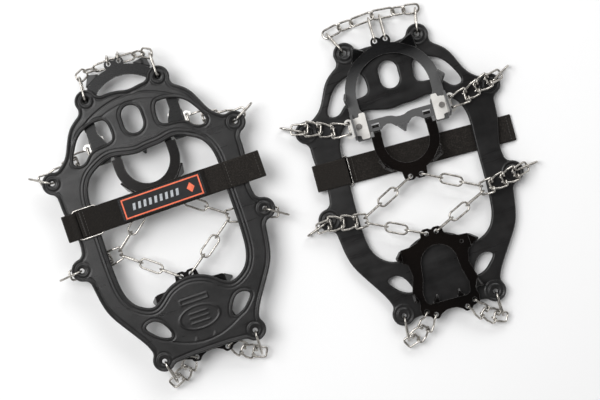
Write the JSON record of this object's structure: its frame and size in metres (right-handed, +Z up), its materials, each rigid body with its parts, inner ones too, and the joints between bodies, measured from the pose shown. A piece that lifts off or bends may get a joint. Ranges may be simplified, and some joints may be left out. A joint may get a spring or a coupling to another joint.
{
  "type": "shoe ice cleats",
  "caption": "Pair of strap-on trail ice cleats: a stretch rubber harness, hinged spiked steel plates, linking chains and an instep strap.",
  "frame": {"origin": "centre of the pair's outline on the ground", "axes": "+X from the right cleat to the left one, +Y towards the right cleat's toe, +Z up"},
  "size_m": [0.4588, 0.3564, 0.0293],
  "materials": {
    "rubber": "satin",
    "webbing": "matte",
    "label": "matte",
    "coated_steel": "gloss",
    "bright_steel": "polished",
    "rivet_steel": "satin",
    "chain_steel": "polished"
  },
  "bodies": {
    "right_harness_body": {"right_harness": "rubber", "right_rail_loop": "webbing", "right_strap": "webbing", "right_inner_mid_chain": "chain_steel", "right_outer_mid_chain": "chain_steel", "right_forefoot_runs": "chain_steel", "right_heel_runs": "chain_steel", "right_eyelet_links": "chain_steel"},
    "right_forefoot_rear_body": {"right_forefoot_rear_plate": "coated_steel"},
    "right_forefoot_front_body": {"right_forefoot_front_plate": "coated_steel", "right_inner_tag": "bright_steel", "right_outer_tag": "bright_steel", "right_tag_rivets": "rivet_steel"},
    "right_inner_side_chain_body": {"right_inner_side_chain": "chain_steel"},
    "right_outer_side_chain_body": {"right_outer_side_chain": "chain_steel"},
    "right_front_chain_body": {"right_front_chain": "chain_steel"},
    "right_heel_body": {"right_heel_plate": "coated_steel"},
    "right_inner_rear_chain_body": {"right_inner_rear_chain": "chain_steel"},
    "right_outer_rear_chain_body": {"right_outer_rear_chain": "chain_steel"},
    "right_ring_body": {"right_strap_ring": "bright_steel"},
    "right_flap_body": {"right_strap_flap": "webbing", "right_strap_label": "label"},
    "left_harness_body": {"left_harness": "rubber", "left_rail_loop": "webbing", "left_strap": "webbing", "left_inner_mid_chain": "chain_steel", "left_outer_mid_chain": "chain_steel", "left_forefoot_runs": "chain_steel", "left_heel_runs": "chain_steel", "left_eyelet_links": "chain_steel"},
    "left_forefoot_rear_body": {"left_forefoot_rear_plate": "coated_steel"},
    "left_forefoot_front_body": {"left_forefoot_front_plate": "coated_steel", "left_inner_tag": "bright_steel", "left_outer_tag": "bright_steel", "left_tag_rivets": "rivet_steel"},
    "left_inner_side_chain_body": {"left_inner_side_chain": "chain_steel"},
    "left_outer_side_chain_body": {"left_outer_side_chain": "chain_steel"},
    "left_front_chain_body": {"left_front_chain": "chain_steel"},
    "left_heel_body": {"left_heel_plate": "coated_steel"},
    "left_inner_rear_chain_body": {"left_inner_rear_chain": "chain_steel"},
    "left_outer_rear_chain_body": {"left_outer_rear_chain": "chain_steel"},
    "left_ring_body": {"left_strap_ring": "bright_steel"},
    "left_flap_body": {"left_strap_flap": "webbing", "left_strap_label": "label"}
  },
  "joints": [
    {"name": "right_forefoot_flex", "type": "hinge", "parent": "right_harness_body", "child": "right_forefoot_rear_body", "pos_m": [-0.11713, 0.03834, 0.0172], "axis": [1, 0, 0], "range_deg": [-4.5, 0]},
    {"name": "right_plate_hinge", "type": "hinge", "parent": "right_forefoot_rear_body", "child": "right_forefoot_front_body", "pos_m": [-0.11713, 0.08884, 0.0172], "axis": [1, 0, 0], "range_deg": [0, 7.43]},
    {"name": "right_inner_side_chain_swing", "type": "hinge", "parent": "right_forefoot_front_body", "child": "right_inner_side_chain_body", "pos_m": [-0.16573, 0.09509, 0.01545], "axis": [0, 1, 0], "range_deg": [0, 4.93]},
    {"name": "right_outer_side_chain_swing", "type": "hinge", "parent": "right_forefoot_front_body", "child": "right_outer_side_chain_body", "pos_m": [-0.06853, 0.09509, 0.01545], "axis": [0, 1, 0], "range_deg": [-4.93, 0]},
    {"name": "right_front_chain_swing", "type": "hinge", "parent": "right_forefoot_front_body", "child": "right_front_chain_body", "pos_m": [-0.11713, 0.16784, 0.0172], "axis": [1, 0, 0], "range_deg": [-2.93, 0]},
    {"name": "right_heel_tilt", "type": "hinge", "parent": "right_harness_body", "child": "right_heel_body", "pos_m": [-0.11713, -0.03966, 0.0172], "axis": [1, 0, 0], "range_deg": [0, 3]},
    {"name": "right_inner_rear_chain_swing", "type": "hinge", "parent": "right_heel_body", "child": "right_inner_rear_chain_body", "pos_m": [-0.13613, -0.11216, 0.0172], "axis": [0.8762, -0.4819, 0], "range_deg": [-10.15, 0]},
    {"name": "right_outer_rear_chain_swing", "type": "hinge", "parent": "right_heel_body", "child": "right_outer_rear_chain_body", "pos_m": [-0.09813, -0.11216, 0.0172], "axis": [0.8762, 0.4819, 0], "range_deg": [-10.15, 0]},
    {"name": "right_flap_peel", "type": "hinge", "parent": "right_harness_body", "child": "right_flap_body", "pos_m": [-0.19393, 0.03534, 0.0277], "axis": [0, -1, 0], "range_deg": [0, 125]},
    {"name": "right_ring_lift", "type": "hinge", "parent": "right_harness_body", "child": "right_ring_body", "pos_m": [-0.19713, 0.03534, 0.0265], "axis": [0, -1, 0], "range_deg": [0, 37.6]},
    {"name": "left_forefoot_flex", "type": "hinge", "parent": "left_harness_body", "child": "left_forefoot_rear_body", "pos_m": [0.11383, -0.02125, 0.0122], "axis": [-0.9976, 0.0698, 0], "range_deg": [-4.5, 0]},
    {"name": "left_plate_hinge", "type": "hinge", "parent": "left_forefoot_rear_body", "child": "left_forefoot_front_body", "pos_m": [0.11735, 0.02913, 0.0122], "axis": [-0.9976, 0.0698, 0], "range_deg": [0, 7.43]},
    {"name": "left_inner_side_chain_swing", "type": "hinge", "parent": "left_forefoot_front_body", "child": "left_inner_side_chain_body", "pos_m": [0.06931, 0.03875, 0.01395], "axis": [-0.0698, -0.9976, 0], "range_deg": [0, 3.58]},
    {"name": "left_outer_side_chain_swing", "type": "hinge", "parent": "left_forefoot_front_body", "child": "left_outer_side_chain_body", "pos_m": [0.16627, 0.03197, 0.01395], "axis": [-0.0698, -0.9976, 0], "range_deg": [-3.56, 0]},
    {"name": "left_front_chain_swing", "type": "hinge", "parent": "left_forefoot_front_body", "child": "left_front_chain_body", "pos_m": [0.12287, 0.10793, 0.0122], "axis": [-0.9976, 0.0698, 0], "range_deg": [-2.93, 0]},
    {"name": "left_heel_tilt", "type": "hinge", "parent": "left_harness_body", "child": "left_heel_body", "pos_m": [0.11, -0.07612, 0.0122], "axis": [-0.9976, 0.0698, 0], "range_deg": [0, 3]},
    {"name": "left_inner_rear_chain_swing", "type": "hinge", "parent": "left_heel_body", "child": "left_inner_rear_chain_body", "pos_m": [0.08598, -0.14711, 0.0122], "axis": [-0.8405, 0.5419, 0], "range_deg": [-10.15, 0]},
    {"name": "left_outer_rear_chain_swing", "type": "hinge", "parent": "left_heel_body", "child": "left_outer_rear_chain_body", "pos_m": [0.12389, -0.14977, 0.0122], "axis": [-0.9077, -0.4196, 0], "range_deg": [-10.15, 0]},
    {"name": "left_flap_peel", "type": "hinge", "parent": "left_harness_body", "child": "left_flap_body", "pos_m": [0.03861, 0.00406, 0.0017], "axis": [0.0698, 0.9976, 0], "range_deg": [0, 125]},
    {"name": "left_ring_lift", "type": "hinge", "parent": "left_harness_body", "child": "left_ring_body", "pos_m": [0.03542, 0.00428, 0.0029], "axis": [0.0698, 0.9976, 0], "range_deg": [0, 37.6]},
    {"name": "pair_spacing", "type": "slide", "parent": "right_harness_body", "child": "left_harness_body", "axis": [1, 0, 0], "range_m": [0, 0.06]}
  ],
  "couplings": [
    {"joint": "right_plate_hinge", "follows": "right_forefoot_flex", "ratio": -1.6392},
    {"joint": "right_inner_side_chain_swing", "follows": "right_forefoot_flex", "ratio": -1.0844},
    {"joint": "right_outer_side_chain_swing", "follows": "right_forefoot_flex", "ratio": 1.0844},
    {"joint": "right_front_chain_swing", "follows": "right_forefoot_flex", "ratio": 0.63924},
    {"joint": "right_inner_rear_chain_swing", "follows": "right_heel_tilt", "ratio": -3.3667},
    {"joint": "right_outer_rear_chain_swing", "follows": "right_heel_tilt", "ratio": -3.3667},
    {"joint": "right_ring_lift", "follows": "right_flap_peel", "ratio": 0.3},
    {"joint": "left_plate_hinge", "follows": "left_forefoot_flex", "ratio": -1.6392},
    {"joint": "left_inner_side_chain_swing", "follows": "left_forefoot_flex", "ratio": -0.78468},
    {"joint": "left_outer_side_chain_swing", "follows": "left_forefoot_flex", "ratio": 0.78031},
    {"joint": "left_front_chain_swing", "follows": "left_forefoot_flex", "ratio": 0.63924},
    {"joint": "left_inner_rear_chain_swing", "follows": "left_heel_tilt", "ratio": -3.3667},
    {"joint": "left_outer_rear_chain_swing", "follows": "left_heel_tilt", "ratio": -3.3667},
    {"joint": "left_ring_lift", "follows": "left_flap_peel", "ratio": 0.3}
  ]
}
